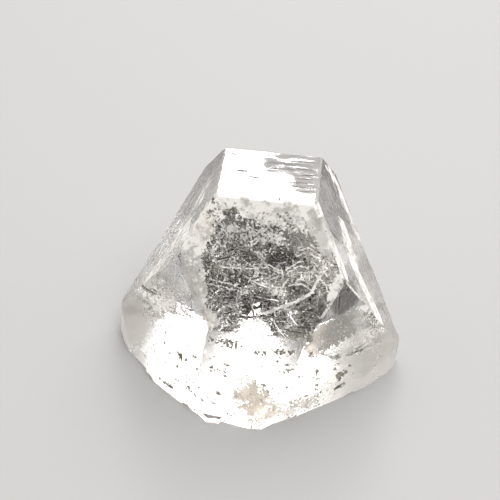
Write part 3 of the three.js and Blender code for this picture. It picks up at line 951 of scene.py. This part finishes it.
def split_underside():
    material, tree, shader = glass_material("split_underside")
    place = millimetres(tree)
    ragged = times(tree, even_cloud(tree, 1.6, detail=5), PEARLY_RAGGED)
    front = ramp_between(tree, maths(tree, "ADD", coordinate(tree, place, "Y"), ragged), *PEARLY)
    whole = maths(tree, "SUBTRACT", 1.0, zones(tree, place, GAP_IN_THE_PEARL))
    front = times(tree, front, whole)
    clear = maths(tree, "SUBTRACT", 1.0, front)
    curves = times(tree, crack_curves(tree, place), clear)
    fine = millimetres(tree, (0.34, 0.34, 0.34))
    dots = times(tree, use_group(tree, SPECKLES, Place=fine, Share=0.3, Size=0.34), clear)
    rough = strongest(tree, times(tree, front, 0.3), times(tree, curves, 0.5), times(tree, dots, 0.6))
    tree.links.new(rough, shader.inputs["Roughness"])
    pearly = times(tree, even_cloud(tree, 0.5, detail=4, roughness=0.7), front)
    raise_surface(tree, shader, [(pearly, 0.03), (curves, 0.05), (dots, 0.05)])
    return material


# %% [markdown]
# ## Each face its finish
# Which finish a face takes can be read from where it is and which way it looks. Underneath is the
# split, with crushed glass on the steep edges of its ripples. Up at the tip is the flat facet. On
# the marked faces the marks come first, then the cracks. The worn ridges are the narrow faces
# that look half way between two crystal faces, and those in front are crushed in places.

# %% Finishes on their faces
PYRAMID_TILT = math.radians(60.5)


def leaning(turn):
    """The way that the pyramid face towards a level direction looks."""
    level = math.sin(PYRAMID_TILT)
    return Vector((turn[0] * level, turn[1] * level, math.cos(PYRAMID_TILT)))


UPWARDS = Vector((0, 0, 1))
PYRAMID = [leaning(turn) for turn in ((0, -1), (1, 0), (0, 1), (-1, 0))]
FRONT = PYRAMID[0]
PRISM = [Vector(turn).normalized() for turn in ((-1, -1, 0), (1, -1, 0), (1, 1, 0), (-1, 1, 0))]
FACES = [*PYRAMID, *PRISM, UPWARDS]
NEIGHBOURS = 0.2
RIDGES = [(one + other).normalized() for i, one in enumerate(FACES) for other in FACES[i + 1:]
          if one.dot(other) > NEIGHBOURS]
FINISHES = {"grown": grown_faces(), "tip": tip_facet(), "split": split_underside(),
            "bruised": bruised_glass(), "veil": veiled_glass(), "dirt": dirt(), "worn": worn_glass()}


CRUSHED_RIDGE = 0.56
STEEP_DEPTH = 0.03 * MM
STEEP_SAW = 0.84
STEEP_REAR = 0.35
UNDERNEATH = 0.5
UNDER_HEIGHT = 0.5 * MM
TIP_HEIGHT = 14.9 * MM
SAME_FACE = 0.99
SAME_RIDGE = 0.9995


def frosted_step(polygon):
    """Whether a cell of the split is on the steep edge of a ripple."""
    place = Vector((polygon.center.x, polygon.center.y, 0))
    steep = any(depth > STEEP_DEPTH and saw > STEEP_SAW for depth, saw in rings_at(place))
    return steep and rear_share(place) > STEEP_REAR


def finish_of(polygon):
    place, way = polygon.center, polygon.normal
    if way.z < -UNDERNEATH and place.z < UNDER_HEIGHT:
        return "bruised" if frosted_step(polygon) else "split"
    if way.z > LEVEL and place.z > TIP_HEIGHT:
        return "tip"
    if looks_forward(polygon) or looks_sideways(polygon):
        mark = marked(place / MM, looks_sideways(polygon))
        if mark:
            return mark
        if way.dot(FRONT) > SAME_FACE and on_crack(place / MM):
            return "bruised"
    if max(way.dot(ridge) for ridge in RIDGES) > SAME_RIDGE:
        crushed = looks_forward(polygon) and luck(place / MM, False) < CRUSHED_RIDGE
        return "bruised" if crushed else "worn"
    return "grown"


order = list(FINISHES)
for finish in FINISHES.values():
    crystal.data.materials.append(finish)
for polygon in crystal.data.polygons:
    polygon.material_index = order.index(finish_of(polygon))
for index, name in enumerate(order):
    print(name, sum(polygon.material_index == index for polygon in crystal.data.polygons), "faces")

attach(crystal, "root")
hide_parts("crystal")

# %% [markdown]
# ## Floor
# A plain pale floor, just below the crystal so that air stays between the two. A real stone
# touches its table at a few points only. Without that gap the underside would stop mirroring.

# %% Floor
AIR_GAP = 0.02 * MM
FLOOR_SIZE = 4.0
FLOOR_COLOUR = (0.37, 0.37, 0.37, 1)
FLOOR_ROUGHNESS = 0.7


def add_floor():
    shape = bmesh.new()
    bmesh.ops.create_grid(shape, x_segments=1, y_segments=1, size=FLOOR_SIZE / 2)
    bmesh.ops.translate(shape, verts=shape.verts, vec=(0, 0, -AIR_GAP))
    floor = piece_from(shape, "floor")
    material = bpy.data.materials.new("floor")
    material.use_nodes = True
    shader = material.node_tree.nodes["Principled BSDF"]
    shader.inputs["Base Color"].default_value = FLOOR_COLOUR
    shader.inputs["Roughness"].default_value = FLOOR_ROUGHNESS
    floor.data.materials.append(material)
    return floor


print("floor at mm", round(min(vert.co.z for vert in add_floor().data.vertices) / MM, 3))

# %% [markdown]
# ## Light
# A clear stone has no colour of its own to light: it shows its surroundings, bent and mirrored.
# Tracing a few rays shows what each part of it looks at. The foot looks out through the back,
# 35 to 60 degrees up. The tip mirrors the sky behind, 33 degrees up. The window looks by way of
# the underside and the back faces to where the camera stands. So a large soft light stands
# behind, the room behind is bright, and the room on the viewer's side is dim.
#
# The milky places are the other way round: they show the light that falls on them. A fill light
# in front serves them alone, kept out of mirrored and bent views, because there it would put a
# white patch in the dark window.

# %% Light
def softbox(name, bearing, height, distance, size, radiance):
    width, depth = size
    data = bpy.data.lights.new(name, "AREA")
    data.shape = "RECTANGLE"
    data.size, data.size_y = width, depth
    data.energy = radiance * math.pi * width * depth
    lamp = bpy.data.objects.new(name, data)
    away = direction(math.radians(bearing), math.radians(height))
    lamp.matrix_world = facing(away * distance, away)
    bpy.context.scene.collection.objects.link(lamp)
    return lamp


softbox("softbox_behind", bearing=12, height=46, distance=0.5, size=(0.5, 0.28), radiance=3.5)
softbox("strip_behind", bearing=-3, height=33, distance=0.5, size=(0.12, 0.07), radiance=14)
fill = softbox("fill_in_front", bearing=150, height=62, distance=0.6, size=(0.4, 0.4), radiance=5.6)
fill.visible_glossy = False
fill.visible_transmission = False

ROOM_COLOUR = (1.0, 0.96, 0.905, 1)
DIM_HEIGHT = math.radians(33)
DIM_FROM = 0.48
DIM_FULLY = 0.88
DIM_SHARE = 0.035


def studio_world():
    world = bpy.data.worlds.new("studio")
    world.use_nodes = True
    tree = world.node_tree
    towards = add_node(tree, "ShaderNodeTexCoord").outputs["Generated"]
    viewer = direction(math.pi - CAMERA_AZIMUTH, DIM_HEIGHT)
    facing_viewer = vector_maths(tree, "DOT_PRODUCT", "Value", {0: towards, 1: viewer})
    strength = ramp_between(tree, facing_viewer, DIM_FROM, DIM_FULLY, 1.0, DIM_SHARE)
    background = tree.nodes["Background"]
    background.inputs["Color"].default_value = ROOM_COLOUR
    tree.links.new(strength, background.inputs["Strength"])
    return world


scene = bpy.context.scene
scene.world = studio_world()

# %% [markdown]
# ## How it is traced
# Light crosses many faces inside a crystal, so the rays may bounce often. With few bounces the
# deep parts would turn black. The view transform is the plain one, which lets the bright faces go
# to pure white as they do in a photograph.

# %% Tracing
BOUNCES = 24
scene.cycles.use_denoising = True
scene.cycles.max_bounces = BOUNCES
scene.cycles.glossy_bounces = BOUNCES
scene.cycles.transmission_bounces = BOUNCES
scene.cycles.diffuse_bounces = 3
scene.cycles.sample_clamp_indirect = 4
scene.cycles.blur_glossy = 0.5
scene.view_settings.view_transform = "Standard"
